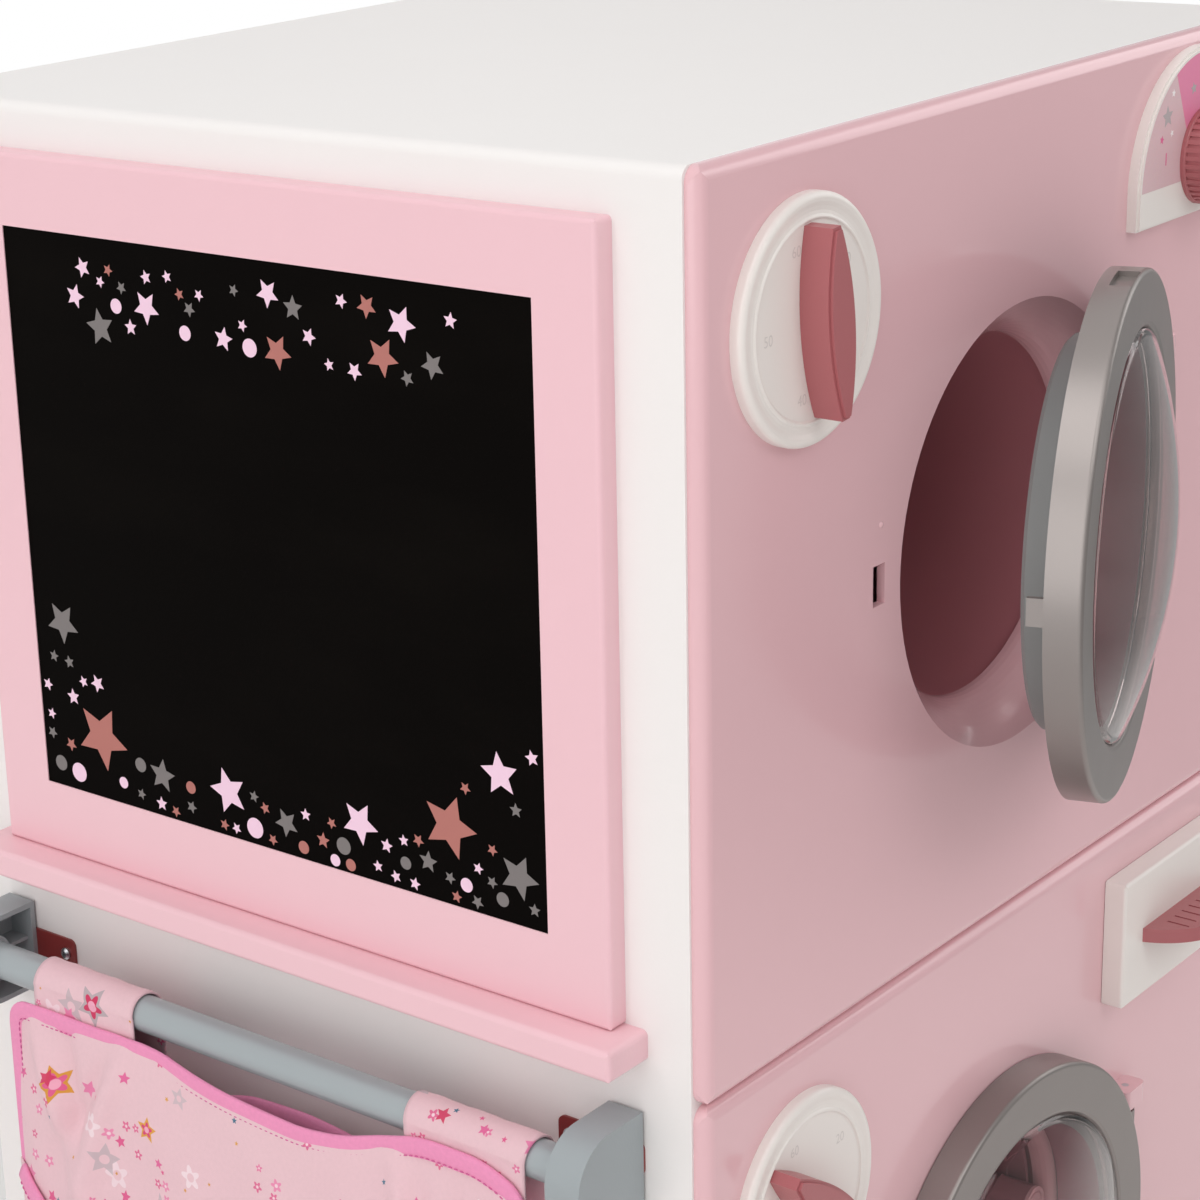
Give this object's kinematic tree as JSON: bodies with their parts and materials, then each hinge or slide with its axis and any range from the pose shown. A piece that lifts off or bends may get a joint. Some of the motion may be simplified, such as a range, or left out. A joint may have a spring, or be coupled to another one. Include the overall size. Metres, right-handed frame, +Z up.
{
  "type": "toy washing machine",
  "caption": "Free-standing toy laundry cabinet: tub module over drum module, round doors, dials, drawer, side chalkboard and cloth bag on a rail.",
  "frame": {"origin": "middle of the whole object's footprint, its open upper door, chalkboard and bag included, on the floor that its glides stand on", "axes": "+Z up; -Y out of the front with the two doors; +X to the right as seen from the front, so the chalkboard side faces -X"},
  "size_m": [0.6356, 0.6084, 0.9],
  "materials": {
    "white_board": "white melamine faces and edges",
    "steel": "zinc plated",
    "glide_plastic": "natural",
    "pink_moulding": "glossy pale pink",
    "tub_rose": "dark rose, satin",
    "silver_plastic": "silver lacquer",
    "silver_shade": "silver lacquer",
    "clear_window": "clear and glossy",
    "drum_rose": "rose, satin",
    "pale_pink": "pale pink, glossy",
    "white_plastic": "white, satin",
    "rose_plastic": "dusty rose, satin",
    "label_print": "printed film",
    "pink_paint": "painted pale pink, satin",
    "slate": "black chalkboard paint, matt",
    "rail_paint": "grey enamel",
    "bracket_grey": "grey, satin",
    "wine_paint": "dark red enamel",
    "bag_cloth": "printed cotton, lined",
    "pocket_cloth": "printed cotton with a bright pink hem"
  },
  "bodies": {
    "cabinet": {"left_side_panel": "white_board", "right_side_panel": "white_board", "top_panel": "white_board", "bottom_panel": "white_board", "middle_shelf": "white_board", "back_panel": "white_board", "cam_locks": "steel", "cam_bolts": "steel", "back_screws": "steel", "front_screws": "steel", "tub_screws": "steel", "upper_hinge_pin": "steel", "lower_hinge_pin": "steel", "board_screws": "steel", "strap_screws": "steel", "glides": "glide_plastic", "upper_front": "pink_moulding", "lower_front": "pink_moulding", "upper_tub": "tub_rose", "lower_tub": "tub_rose", "drum_bush": "white_plastic", "upper_dial": "white_plastic", "lower_dial": "white_plastic", "temperature_plate": "white_plastic", "drawer_housing": "white_plastic", "temperature_label": "label_print", "chalkboard_frame": "pink_paint", "chalk_ledge": "pink_paint", "chalkboard": "slate", "bag_rail": "rail_paint", "front_bracket": "bracket_grey", "rear_bracket": "bracket_grey", "bracket_straps": "wine_paint", "bag_body": "bag_cloth", "bag_loops": "bag_cloth", "bag_pocket": "pocket_cloth"},
    "upper_door": {"upper_bezel": "silver_plastic", "upper_back_ring": "silver_shade", "upper_window": "clear_window", "upper_ring_screws": "steel"},
    "lower_door": {"lower_bezel": "silver_plastic", "lower_back_ring": "silver_shade", "lower_window": "clear_window", "lower_ring_screws": "steel"},
    "upper_timer_knob": {"upper_bar_knob": "rose_plastic", "upper_knob_clip": "steel"},
    "lower_timer_knob": {"lower_bar_knob": "rose_plastic", "lower_knob_clip": "steel"},
    "temperature_knob": {"ribbed_knob": "rose_plastic", "ribbed_knob_clip": "steel"},
    "drawer": {"drawer_front": "white_plastic", "drawer_handle": "rose_plastic", "drawer_tray": "white_plastic", "drawer_screws": "steel"},
    "drum_unit": {"drum": "drum_rose", "drum_lifters": "drum_rose", "drum_caps": "pale_pink", "drum_shaft": "steel", "drum_clip": "steel"}
  },
  "joints": [
    {"name": "upper_door_hinge", "type": "hinge", "parent": "cabinet", "child": "upper_door", "pos_m": [0.16577, -0.21263, 0.6714], "axis": [0, 0, 1], "range_deg": [-17.4, 82.6]},
    {"name": "lower_door_hinge", "type": "hinge", "parent": "cabinet", "child": "lower_door", "pos_m": [0.16577, -0.21263, 0.2235], "axis": [0, 0, 1], "range_deg": [0, 100]},
    {"name": "upper_timer", "type": "hinge", "parent": "cabinet", "child": "upper_timer_knob", "pos_m": [-0.17123, -0.21003, 0.819], "axis": [0, 1, 0], "continuous": true},
    {"name": "lower_timer", "type": "hinge", "parent": "cabinet", "child": "lower_timer_knob", "pos_m": [-0.17123, -0.21003, 0.3745], "axis": [0, 1, 0], "continuous": true},
    {"name": "temperature", "type": "hinge", "parent": "cabinet", "child": "temperature_knob", "pos_m": [0.21027, -0.21404, 0.8345], "axis": [0, 1, 0], "range_deg": [-80, 80]},
    {"name": "drawer_slide", "type": "slide", "parent": "cabinet", "child": "drawer", "axis": [0, -1, 0], "range_m": [0, 0.07]},
    {"name": "drum_spin", "type": "hinge", "parent": "cabinet", "child": "drum_unit", "pos_m": [0.03277, -0.04804, 0.2235], "axis": [0, 1, 0], "continuous": true}
  ]
}
